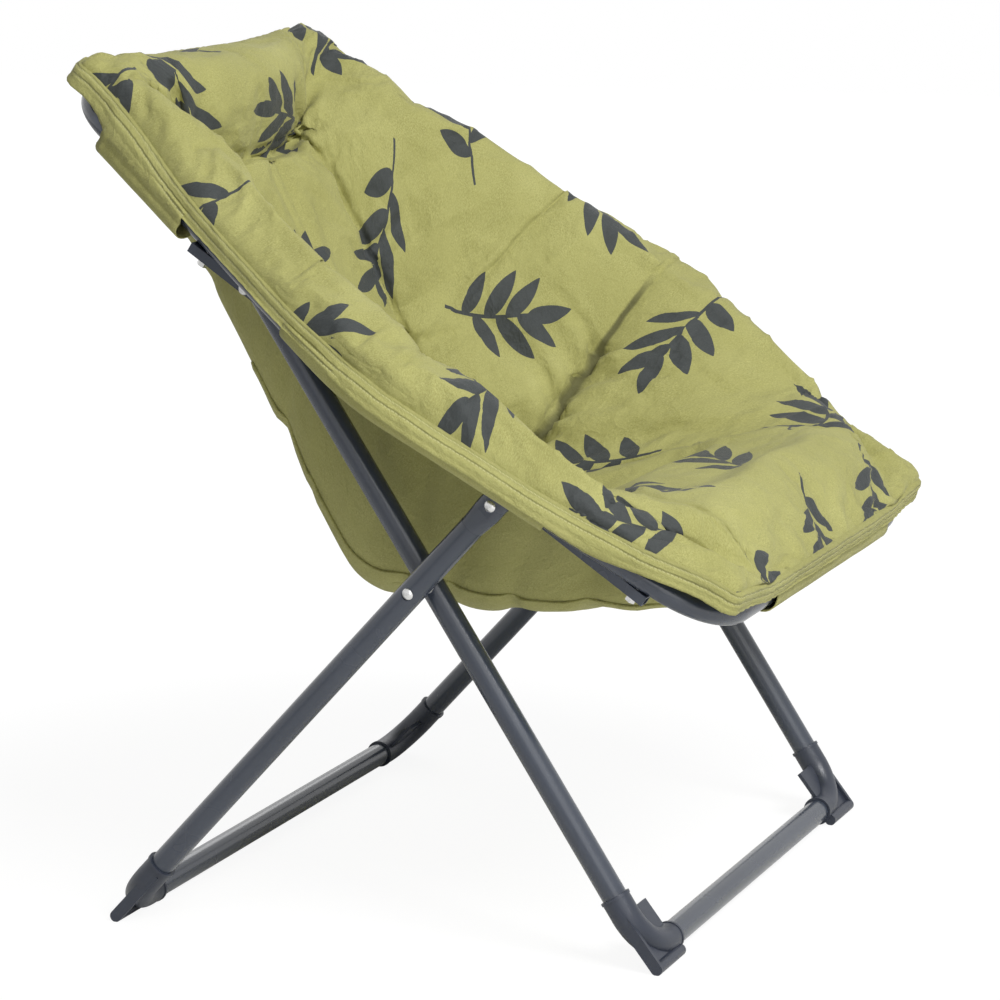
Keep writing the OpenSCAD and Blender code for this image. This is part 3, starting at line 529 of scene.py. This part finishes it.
# padded liner
linerValues = dict(
    columns=168, rows=236, length=1.15,
    # part of the width, then the padding's depth there
    under=((0.0, 0.016), (0.28, 0.014), (0.5, 0.011), (0.68, 0.009), (0.83, 0.011), (0.88, 0.014),
           (0.93, 0.012), (0.98, 0.006), (1.0, 0.0015)),
    thin=0.0015, endRows=6, shallow=(0.55, 0.86, 0.006),
    # rim s, half width, s and off at the middle, fold's x, roll's off, puff, wall's swell, bag's s and off
    stations=(
        (-0.2930, 0.2290, -0.2930, 0.040, 0.112, 0.051, 0.300, 0.000, -0.288, 0.026),
        (-0.2895, 0.2380, -0.2880, 0.056, 0.112, 0.060, 0.500, 0.000, -0.284, 0.022),
        (-0.2830, 0.2425, -0.2750, 0.069, 0.112, 0.067, 0.900, 0.000, -0.275, 0.017),
        (-0.2720, 0.2410, -0.2510, 0.072, 0.112, 0.070, 1.000, 0.000, -0.265, 0.006),
        (-0.2600, 0.2395, -0.2230, 0.060, 0.114, 0.072, 1.000, 0.000, -0.247, -0.014),
        (-0.2480, 0.2395, -0.1960, 0.034, 0.116, 0.072, 1.000, 0.000, -0.232, -0.026),
        (-0.2360, 0.2415, -0.1720, -0.005, 0.118, 0.071, 1.000, -0.006, -0.214, -0.038),
        (-0.2150, 0.2475, -0.1500, -0.003, 0.122, 0.070, 1.000, 0.004, -0.188, -0.053),
        (-0.1750, 0.2610, -0.1250, -0.018, 0.126, 0.072, 1.000, 0.010, -0.146, -0.068),
        (-0.1250, 0.2780, -0.0900, -0.038, 0.127, 0.070, 1.000, 0.013, -0.092, -0.078),
        (-0.0650, 0.2990, -0.0450, -0.064, 0.125, 0.067, 1.000, 0.015, -0.030, -0.098),
        (0.0000, 0.3215, 0.0150, -0.098, 0.123, 0.062, 1.000, 0.015, 0.036, -0.127),
        (0.0650, 0.3450, 0.0850, -0.131, 0.116, 0.064, 1.000, 0.014, 0.107, -0.172),
        (0.1200, 0.3630, 0.1500, -0.151, 0.107, 0.067, 1.000, 0.012, 0.167, -0.209),
        (0.1600, 0.3755, 0.2020, -0.155, 0.104, 0.069, 1.000, 0.008, 0.218, -0.236),
        (0.1850, 0.3790, 0.2330, -0.166, 0.104, 0.070, 1.000, 0.002, 0.245, -0.233),
        (0.2080, 0.3765, 0.2560, -0.150, 0.108, 0.070, 1.000, 0.008, 0.267, -0.225),
        (0.2500, 0.3670, 0.2920, -0.122, 0.120, 0.069, 1.000, 0.018, 0.307, -0.203),
        (0.3050, 0.3535, 0.3360, -0.076, 0.142, 0.062, 1.000, 0.018, 0.356, -0.172),
        (0.3600, 0.3400, 0.3800, -0.014, 0.160, 0.057, 1.000, 0.012, 0.403, -0.134),
        (0.4100, 0.3280, 0.4180, 0.042, 0.178, 0.056, 1.000, 0.004, 0.446, -0.094),
        (0.4550, 0.3170, 0.4560, 0.064, 0.190, 0.058, 1.000, 0.000, 0.485, -0.057),
        (0.5000, 0.3050, 0.4990, 0.067, 0.190, 0.064, 1.000, 0.000, 0.520, -0.022),
        (0.5320, 0.2970, 0.5340, 0.060, 0.190, 0.067, 0.900, 0.000, 0.536, 0.004),
        (0.5500, 0.2920, 0.5540, 0.052, 0.190, 0.062, 0.500, 0.000, 0.549, 0.021),
        (0.5570, 0.2850, 0.5620, 0.043, 0.190, 0.052, 0.300, 0.000, 0.560, 0.026)),
    # rows are spaced by this share of the edge's length, and the rest of the middle's
    edgeShare=0.6,
    # rim s, then the height of the liner's edge
    hem=((-0.30, 0.046), (-0.28, 0.049), (-0.25, 0.044), (-0.18, 0.037), (-0.12, 0.031), (-0.06, 0.028),
         (0.06, 0.027), (0.12, 0.029), (0.18, 0.031), (0.35, 0.031), (0.45, 0.038), (0.50, 0.046),
         (0.54, 0.052), (0.57, 0.050)),
    # how far the edge hangs out over the tube
    over=((-0.30, 0.0), (-0.20, 0.0), (-0.11, 0.0065), (-0.05, 0.0085), (0.06, 0.0085), (0.13, 0.0045),
          (0.18, 0.0), (0.57, 0.0)),
    # the height that the hem's lower edge hangs to, and how much it is drawn in there
    foot=((-0.30, 0.031, 0.009), (-0.27, 0.029, 0.010), (-0.24, 0.022, 0.007), (-0.21, 0.0150, 0.0),
          (-0.10, 0.0150, 0.0), (-0.075, 0.0180, 0.0005), (0.055, 0.0180, 0.0005), (0.08, 0.0150, 0.0),
          (0.42, 0.0150, 0.0), (0.47, 0.024, 0.003), (0.53, 0.035, 0.007), (0.57, 0.035, 0.007)),
    # parts of the half width: the fold beside the middle, and where the wall meets the roll
    inner=0.28, outer=0.83,
    # way to the fold, rise with the puff, share of the middle's shift
    flatKnots=((0.0, 0.004, 1.0), (0.55, 0.003, 0.95), (1.0, 0.001, 0.74)),
    # way up the wall, share of the middle's shift
    wallKnots=((0.3, 0.48), (0.65, 0.18)), wallTop=0.009, belly=1.1,
    # way over the roll, in with the puff, share of the overhang, down with the puff, way to the edge
    rollKnots=((0.3, 0.030, 0.0, 0.0, 0.0), (0.6, 0.014, 0.4, 0.004, 0.0), (0.85, 0.003, 1.0, 0.0, 0.5),
               (1.0, 0.0, 1.0, 0.0, 1.0)),
    roll=0.046, rollMore=0.022, rollLeast=0.2,
    # where the roll is wider and thinner, for the folded legs: middle, half length and steepness
    shoulder=(0.200, 0.150, 1.6),
    crease=15, seam=6,                         # the stations that are sewn down: the seat's and the pillow's
    hold=0.02, foldHold=0.5, heldCrease=0.88, heldSeam=0.30, cap=0.016, frames=12,
    cloth=dict(quality=6, mass=0.15, tension_stiffness=30, compression_stiffness=30, shear_stiffness=8,
               bending_stiffness=0.3, shrink_min=-0.040, use_pressure=True, uniform_pressure_force=0.8,
               pin_stiffness=0.5, air_damping=3),
    creases=dict(
        # lines are (share of the depth, half width) of the stitching and of the hollow beside it
        depth=0.0120, creaseLines=((0.9, 0.0045), (0.8, 0.020)), seamLines=((1.0, 0.0045), (0.4, 0.018)),
        creaseEnd=0.86, creaseFade=8, seamEnd=0.13, seamFade=0.02,
        gather=0.0048, pitch=0.030, waver=2.5, gatherWidth=0.034, sewn=0.006, gatherMiddle=0.7,
        corner=0.128, cornerSize=(0.045, 0.05), cornerFolds=7, cornerGather=1.5, cornerTurn=3,
        fold=0.0045, foldWidth=0.028, foldEnds=6,
        margin=0.03, uneven=(0.0024, 11), loose=0.0026, sharp=2.4, slant=(9, 5, 26, 16), calm=(0.35, 0.1),
        pucker=(0.0013, 55), legs=(0.235, 0.325), legCrease=(0.0035, 0.008), legFade=3))


def hemHeight(s):
    return between(linerValues["hem"], s)[0]


def shoulder(s):
    middle, reach, steep = linerValues["shoulder"]
    return max(0, min(1, steep * (1 - abs(s - middle) / reach)))


def measuredRows(rows, share):                 # way along the liner at each row of the table, from 0 to 1
    lengths = [0.0]
    for a, b in zip(rows, rows[1:]):
        edge, middle = math.hypot(b[0] - a[0], b[1] - a[1]), math.hypot(b[2] - a[2], b[3] - a[3])
        lengths.append(lengths[-1] + edge * share + middle * (1 - share))
    return [length / lengths[-1] for length in lengths]


rowTable = [(k,) + row for k, row in enumerate(linerValues["stations"])]
rowWays = measuredRows(linerValues["stations"], linerValues["edgeShare"])


def rowAt(v):
    k = min(max(bisect.bisect_right(rowWays, v) - 1, 0), len(rowWays) - 2)
    return k + (v - rowWays[k]) / (rowWays[k + 1] - rowWays[k])


def rollWidth(s, puff):                        # from the rim in to where the wall starts
    g = linerValues
    return (g["roll"] + g["rollMore"] * shoulder(s)) * min(1, puff + g["rollLeast"])


def linerSpot(u, v):                           # x, s and off of the top, for u across and v down the seat
    g = linerValues
    s, half, sMid, offMid, fold, roll, puff, belly, _, _ = between(rowTable, rowAt(v))
    hem, over = hemHeight(s), between(g["over"], s)[0]
    inner, outer = g["inner"], g["outer"]
    reach, top = half - rollWidth(s, puff), roll - g["wallTop"] * puff
    knots = [(inner * way, fold * way, offMid + rise * puff, shift) for way, rise, shift in g["flatKnots"]]
    knots += [(inner + (outer - inner) * way, fold + (reach - fold) * way,
               offMid + (top - offMid) * way + belly * g["belly"], shift) for way, shift in g["wallKnots"]]
    knots.append((outer, reach, top, 0.0))
    knots += [(outer + (1 - outer) * way, half - drawn * puff + over * out,
               roll - drop * puff + (hem - roll) * down, 0.0)
              for way, drawn, out, drop, down in g["rollKnots"]]
    x, off, shift = between(knots, abs(u))
    return x if u >= 0 else -x, s + (sMid - s) * shift, off


def puffUp(piece, g, weights):                 # cloth simulation, applied and capped
    group = piece.vertex_groups.new(name="hold")
    for i, weight in enumerate(weights):
        group.add([i], weight, "REPLACE")
    cloth = piece.modifiers.new("puff", "CLOTH")
    for key, value in g["cloth"].items():
        setattr(cloth.settings, key, value)
    cloth.settings.vertex_group_mass = "hold"
    cloth.settings.effector_weights.gravity = 0
    cloth.collision_settings.use_collision = False
    cloth.collision_settings.use_self_collision = False
    cloth.point_cache.frame_start = 1
    cloth.point_cache.frame_end = g["frames"]
    for step in range(1, g["frames"] + 1):
        scene.frame_set(step)
        settled = piece.evaluated_get(bpy.context.evaluated_depsgraph_get())
        moved = [vert.co.copy() for vert in settled.data.vertices]
    piece.modifiers.remove(cloth)
    piece.vertex_groups.remove(group)
    steps = [goal - vert.co for vert, goal in zip(piece.data.vertices, moved)]
    for vert, step in zip(piece.data.vertices, steps):
        vert.co += step * min(1.0, g["cap"] / max(step.length, 1e-9))
    scene.frame_set(1)
    sizes = sorted(step.length * 1000 for step in steps)
    middle, most = round(sizes[len(sizes) // 2], 1), round(sizes[-1], 1)
    print(piece.name, "puffed by", middle, "mm at the middle,", most, "at most")


def hump(distance, width):
    return math.exp(-(distance / width) ** 2)


def groove(lines, away):                       # stitching and the hollow beside it, as a share of the depth
    return sum(share * hump(away, width) for share, width in lines)


def creaseSeams(piece, g, spots, creaseRow, seamRow):      # sewn creases, their gathers, loose wrinkles
    c = g["creases"]
    size = g["length"] / g["rows"]
    normals = [Vector(vert.normal) for vert in piece.data.vertices]
    for vert, normal in zip(piece.data.vertices, normals):
        u, j, (x, s, off) = spots[vert.index]
        wide, right = abs(x), x > 0
        edge = min((1 - abs(u)) * 0.5, j * size, (g["rows"] - j) * size)
        inside = min(1, edge / c["margin"])
        down, up = (j - creaseRow) * size, (j - seamRow) * size
        reach = min(1, max(0, (c["creaseEnd"] - abs(u)) * c["creaseFade"]))
        push = -c["depth"] * groove(c["creaseLines"], down) * reach
        waver = c["waver"] * noise.noise(Vector((x * 25, down > 0, 2)))
        gathers = math.sin(x * 2 * math.pi / c["pitch"] + waver) * hump(down, c["gatherWidth"])
        push += c["gather"] * gathers * (1 - hump(down, c["sewn"])) * reach * (c["gatherMiddle"] + abs(u))
        push -= c["depth"] * groove(c["seamLines"], up) * hump(max(0, wide - c["seamEnd"]), c["seamFade"])
        corner = hump(wide - c["corner"], c["cornerSize"][0]) * hump(up, c["cornerSize"][1])
        turn = math.atan2(up, wide - c["corner"]) * c["cornerFolds"] + c["cornerTurn"] * right
        push += c["gather"] * c["cornerGather"] * corner * math.sin(turn) * (1 - hump(up, c["sewn"]))
        if seamRow < j < creaseRow:
            ends = min(1, (creaseRow - j) / c["foldEnds"], (j - seamRow) / c["foldEnds"])
            push -= c["fold"] * hump(abs(u) - g["inner"], c["foldWidth"]) * ends
        depth, scale = c["uneven"]
        push += depth * noise.noise(Vector((x, s, off)) * scale) * inside
        a, b, d, e = c["slant"]
        turned = Vector((x * a + s * b, s * d - wide * e, 1 + right))
        calm, middle = c["calm"]
        loose = c["loose"] * (1 - abs(noise.noise(turned)) * c["sharp"]) ** 3
        push += loose * inside * (calm + (1 - calm) * (wide > middle))
        depth, scale = c["pucker"]
        push += depth * noise.noise(Vector((s * scale, x * scale, 4))) * hump(edge, c["margin"]) * inside
        vert.co += normal * push
        if c["legs"][0] < wide < c["legs"][1] and shoulder(s) > 0:     # kept up over the folded legs
            depth, width = c["legCrease"]
            sunk = (vert.co - place(x, s, off)).dot(normal) + depth * hump(down, width)
            vert.co -= normal * min(0, sunk) * min(1, c["legFade"] * shoulder(s))


def closeUnder(piece, g, spots):               # an underside, straight below the sheet in the rim's frame
    down = place(0, 0, -1) - place(0, 0, 0)
    depths = {}
    start, end, less = g["shallow"]
    for index, (u, j, (_, s, _)) in spots.items():
        depth = between(g["under"], abs(u))[0]
        if start < abs(u) < end:
            depth -= less * shoulder(s)
        ends = min(j, g["rows"] - j) / g["endRows"]
        depths[index] = g["thin"] + (depth - g["thin"]) * min(1, ends)
    shape = bmesh.new()
    shape.from_mesh(piece.data)
    shape.verts.ensure_lookup_table()
    index = shape.verts.layers.int.new("spot")
    for vert in shape.verts:
        vert[index] = vert.index
    made = bmesh.ops.extrude_face_region(shape, geom=shape.faces[:])
    top = set(item for item in made["geom"] if isinstance(item, bmesh.types.BMVert))
    for vert in shape.verts:
        if vert not in top:
            vert.co += down * depths[vert[index]]
    shape.verts.layers.int.remove(index)
    bmesh.ops.recalc_face_normals(shape, faces=shape.faces)
    shape.to_mesh(piece.data)
    shape.free()


def makeLiner(g):
    along, across = g["columns"], g["rows"]
    shape, net = clothGrid(along, across, lambda i, j: place(*linerSpot(i * 2 - 1, j)))
    creaseRow, seamRow = (round(rowWays[g[k]] * across) for k in ("crease", "seam"))
    flatUv(shape, net, along, across, origin=creaseRow)
    bmesh.ops.recalc_face_normals(shape, faces=shape.faces)
    if sum((face.normal for face in shape.faces), Vector()).z < 0:
        bmesh.ops.reverse_faces(shape, faces=shape.faces)
    shape.verts.index_update()
    weights = [0.0] * len(shape.verts)
    for (i, j), vert in net.items():
        u = abs(i / along * 2 - 1)
        weight = g["hold"]
        if i < 2 or j < 2 or i > along - 2 or j > across - 2:
            weight = 1.0
        if (j == creaseRow and u < g["heldCrease"]) or (j == seamRow and u < g["heldSeam"]):
            weight = 1.0
        if abs(u - g["inner"]) < 1.1 * 2 / along and seamRow < j < creaseRow:
            weight = g["foldHold"]
        weights[vert.index] = weight
    spots = {}
    for (i, j), vert in net.items():
        u = i / along * 2 - 1
        spots[vert.index] = (u, j, linerSpot(u, j / across))
    piece = finishPiece("liner", shape, printedCloth, "seat")
    puffUp(piece, g, weights)
    creaseSeams(piece, g, spots, creaseRow, seamRow)
    closeUnder(piece, g, spots)
    return piece


liner = makeLiner(linerValues)
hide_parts("padded_liner")
print("padded liner made")


# outer bag, hung from the rim under the liner
bagValues = dict(
    columns=64, rows=76, inset=0.02, thick=0.0020, wall=0.262, clear=0.008, gap=0.0155, flange=0.27,
    lip=0.002,
    # part of the width, then parts of the wall's distance and of the depth
    columnsAt=((0.0, 0.0, 1.0), (0.2, 0.40, 0.985), (0.42, 0.74, 0.92), (0.55, 0.89, 0.78),
               (0.74, 0.95, 0.45), (0.88, 0.985, 0.2), (1.0, 1.0, 0.0)),
    # hollows: how deep a fold and a crumple go, the fold's threshold, the limit, and where they fade
    folds=dict(fold=0.011, above=0.7, crumple=0.005, most=0.008, ends=6, side=0.74, sideFade=9,
               foldScale=(1.6, 13), crumpleScale=(9, 7)),
    seam=dict(column=12, rows=(0.34, 0.94), crossStation=16, width=0.016, lift=0.0020, thick=0.0026,
              round=0.0008))


def linerAt(x, v):                             # the liner's spot at this distance from the middle
    low, high = 0.0, 1.0
    for _ in range(18):
        mid = (low + high) / 2
        low, high = (mid, high) if linerSpot(mid, v)[0] < x else (low, mid)
    return linerSpot(low, v)


def bagSpot(u, v):
    g = bagValues
    v = g["inset"] + (1 - 2 * g["inset"]) * v
    row = between(rowTable, rowAt(v))
    s, half, puff, sLow, offLow = row[0], row[1], row[6], row[8], row[9]
    side = 1 if u >= 0 else -1
    u, gap, flange = abs(u), g["gap"], g["flange"]
    wall = min(g["wall"], half - rollWidth(s, puff) - g["clear"])
    if u > 1 - flange:
        t = (u - 1 + flange) / flange
        x, sAt, off = linerAt(wall + (half - g["lip"] - wall) * t, v)
        return x * side, sAt, off - gap
    _, sAt, off = linerAt(wall, v)
    wide, deep = between(g["columnsAt"], u / (1 - flange))
    return wide * wall * side, sAt + deep * (sLow - sAt), off - gap + deep * (offLow - off + gap)


def makeBag(g):
    along, across = g["columns"], g["rows"]
    shape, net = clothGrid(along, across, lambda i, j: place(*bagSpot(i * 2 - 1, j)))
    flatUv(shape, net, along, across)
    bmesh.ops.recalc_face_normals(shape, faces=shape.faces)
    if sum((face.normal for face in shape.faces), Vector()).z > 0:
        bmesh.ops.reverse_faces(shape, faces=shape.faces)
    shape.normal_update()
    c = g["folds"]
    for (i, j), vert in net.items():
        u, v, right = abs(i / along * 2 - 1), j / across, i > along / 2
        spread = min(1, c["ends"] * v, c["ends"] * (1 - v)) * min(1, max(0, (c["side"] - u) * c["sideFade"]))
        wide, long = c["crumpleScale"]
        crumple = noise.noise(Vector((u * wide, v * long + 3, right)))
        wide, long = c["foldScale"]
        spot = Vector((u * wide, v * long + right * 5, 4))
        fold = noise.ridged_multi_fractal(spot, 1.0, 2.0, 2, 1.0, 2.0)
        inward = c["fold"] * max(0, fold - c["above"]) + c["crumple"] * max(0, crumple)
        vert.co -= vert.normal * min(c["most"], inward) * spread
    shape.verts.index_update()
    spots = {vert.index: key for key, vert in net.items()}
    piece = finishPiece("bag", shape, plainCloth, "seat")
    wall = piece.modifiers.new("wall", "SOLIDIFY")
    wall.thickness = g["thick"]
    wall.offset = -1
    soft = piece.modifiers.new("soft", "SUBSURF")
    soft.levels = soft.render_levels = 1
    return piece, spots


def makeSeam(name, source, spots, box, g):     # a folded seam allowance, standing a little off the bag
    left, right, low, high = box
    shape = bmesh.new()
    shape.from_mesh(source.data)
    shape.verts.ensure_lookup_table()
    kept = {index for index, (i, j) in spots.items() if left <= i <= right and low <= j <= high}
    extra = [face for face in shape.faces if not all(vert.index in kept for vert in face.verts)]
    bmesh.ops.delete(shape, geom=extra, context="FACES")
    area = sum(face.calc_area() for face in shape.faces)
    shape.normal_update()
    for vert in shape.verts:
        vert.co += vert.normal * g["lift"]
    bmesh.ops.subdivide_edges(shape, edges=shape.edges[:], cuts=1, smooth=0.4, use_grid_fill=True)
    bmesh.ops.solidify(shape, geom=shape.faces[:], thickness=g["thick"])
    sharp = [edge for edge in shape.edges if edge.calc_face_angle(0) > 1]
    bmesh.ops.bevel(shape, geom=sharp, offset=g["round"], offset_type="OFFSET", affect="EDGES", segments=2,
                    profile=0.5, material=-1)
    piece = finishPiece(name, shape, plainCloth, "seat")
    area / g["width"]
    return piece


def seamBoxes(g):                              # first and last column, then first and last row, of each seam
    c, middle = g["seam"], g["columns"] // 2
    low, high = (round(share * g["rows"]) for share in c["rows"])
    cross = round((rowWays[c["crossStation"]] - g["inset"]) / (1 - 2 * g["inset"]) * g["rows"])
    return dict(seamLeft=(middle - c["column"] - 1, middle - c["column"], low, high),
                seamRight=(middle + c["column"], middle + c["column"] + 1, low, high),
                seamCross=(middle - c["column"], middle + c["column"], cross, cross + 1))


bag, bagSpots = makeBag(bagValues)
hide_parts("outer_bag")
seams = {name: makeSeam(name, bag, bagSpots, box, bagValues["seam"])
         for name, box in seamBoxes(bagValues).items()}
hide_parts("bag_welt")
print("bag and its seams made")


# hem all round the liner
hemValues = dict(along=420, across=12, edgeSteps=60, thick=0.0020, level=0.0118, least=0.001, closest=0.0048,
                 ripple=0.0012, rippleScale=(22, 1.5), wave=0.0005, waves=420, join=0.00005,
                 # way out from the liner's edge, height over it, share of the drop to the tube
                 section=((0.0, -0.006, 0.0036, 0), (0.18, -0.0005, 0.0042, 0), (0.28, 0.0046, 0.0026, 0),
                          (0.38, 0.0090, -0.0015, 0), (0.50, 0.0122, -0.0058, 0), (0.62, 0.0142, -0.0105, 0),
                          (0.68, 0.0132, -0.0113, 0), (0.76, 0.0146, -0.0118, 0.12),
                          (1.0, 0.0150, -0.0118, 1)))


def linerEdge(steps):                          # its right half: back edge, side, front edge
    ways = [(i / steps, 0) for i in range(steps)]
    ways += [(1, i / (3 * steps)) for i in range(3 * steps)]
    ways += [(1 - i / steps, 1) for i in range(steps + 1)]
    return ClosedLine([Vector(linerSpot(u, v)) for u, v in ways])


def makeHem(g):
    edge = linerEdge(g["edgeSteps"])

    def spot(i, j):
        length = edge.whole * i
        middle, out = edge.at(length)
        reach, rise, share = between(g["section"], j)
        foot, drawn = between(linerValues["foot"], middle.y)
        rise -= share * max(g["least"], middle.z - g["level"] - foot)
        over = between(linerValues["over"], middle.y)[0]
        reach = max(min(reach, g["closest"]), reach - over - drawn)
        wide, long = g["rippleScale"]
        ripple = g["ripple"] * noise.noise(Vector((length * wide, j * long, 5)))
        spotAt = middle + out * (reach + ripple + g["wave"] * math.sin(length * g["waves"]))
        return place(spotAt.x, spotAt.y, middle.z + rise)

    shape, net = clothGrid(g["along"], g["across"], spot)
    flatUv(shape, net, g["along"], g["across"], middle=0, origin=0)
    bmesh.ops.remove_doubles(shape, verts=shape.verts, dist=g["join"])
    bmesh.ops.recalc_face_normals(shape, faces=shape.faces)
    bmesh.ops.solidify(shape, geom=shape.faces[:], thickness=g["thick"])
    piece = finishPiece("hem", shape, hemCloth, "seat")
    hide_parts("edge_binding")


makeHem(hemValues)
print("hem made")


# sleeves that hang from the hem and go round the rim tubes
sleeveValues = dict(thick=0.0013, step=0.008, rows=26, fewest=8, under=0.0060,
                    top=(-0.150, 0.150), upper=(-0.222, -0.088), side=(0.073, 0.376), front=(-0.200, 0.155),
                    slack=0.001, upperSlack=0.010, clear=0.0026, sag=0.0005, sagScale=17,
                    # parts of the girth: down to the tube, round it, then the turned-in end
                    hang=0.36, round=0.42, tuck=0.22, out=(0.004, 0.009), lift=0.0008,
                    belly=0.0006, ripple=0.0012, rippleScale=30, tuckIn=0.002, tuckUp=0.012)


def makeSleeve(name, start, end, nodes, g, slack):
    along, across = max(g["fewest"], round((end - start) / g["step"])), g["rows"]

    def spot(i, j):
        length = start + (end - start) * i
        middle, out = rimLine.at(length)
        hem = hemHeight(middle.y) - g["under"]
        level = rimValues["height"]
        sag = noise.noise(Vector((length * g["sagScale"], 1, 0)))
        radius = rimValues["tube"] + g["clear"] + g["sag"] * sag
        if j < g["hang"]:
            t = j / g["hang"]
            off = hem + (level - slack - hem) * t
            over = math.sqrt(max(0, radius ** 2 - (off - level) ** 2))
            ripple = noise.noise(Vector((length * g["rippleScale"], t * 2, 9)))
            reach = g["lift"] + max(g["out"][0] + g["out"][1] * t, over)
            reach += (g["belly"] + g["ripple"] * ripple) * math.sin(math.pi * t)
        elif j < g["hang"] + g["round"]:
            turn = math.pi * (j - g["hang"]) / g["round"]
            reach, off = (radius + g["lift"]) * math.cos(turn), level - slack - radius * math.sin(turn)
        else:
            t = (j - g["hang"] - g["round"]) / g["tuck"]
            reach, off = -radius + g["tuckIn"] * t, level - slack + g["tuckUp"] * t
        spotAt = middle + out * reach
        return place(spotAt.x, spotAt.y, off)

    shape, net = clothGrid(along, across, spot)
    flatUv(shape, net, along, across, origin=0)
    bmesh.ops.recalc_face_normals(shape, faces=shape.faces)
    bmesh.ops.solidify(shape, geom=shape.faces[:], thickness=g["thick"])
    piece = finishPiece(name, shape, sleeveCloth, "seat")
    end - start
    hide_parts(*nodes)


def makeSleeves(g):
    whole, loose = rimLine.whole, g["upperSlack"]
    makeSleeve("topSleeve", *g["top"], ["top_sleeve"], g, g["slack"])
    for name, ends, slack in (("upper", g["upper"], loose), ("side", g["side"], g["slack"])):
        first, second = (rimLine.where(s) for s in ends)
        makeSleeve(name + "SleeveLeft", first, second, [name + "_sleeve_left"], g, slack)
        makeSleeve(name + "SleeveRight", whole - second, whole - first, [name + "_sleeve_right"], g, slack)
    start, end = (whole / 2 + way for way in g["front"])
    makeSleeve("frontSleeve", start, end, ["front_sleeve"], g, g["slack"])


makeSleeves(sleeveValues)
print("sleeves made")
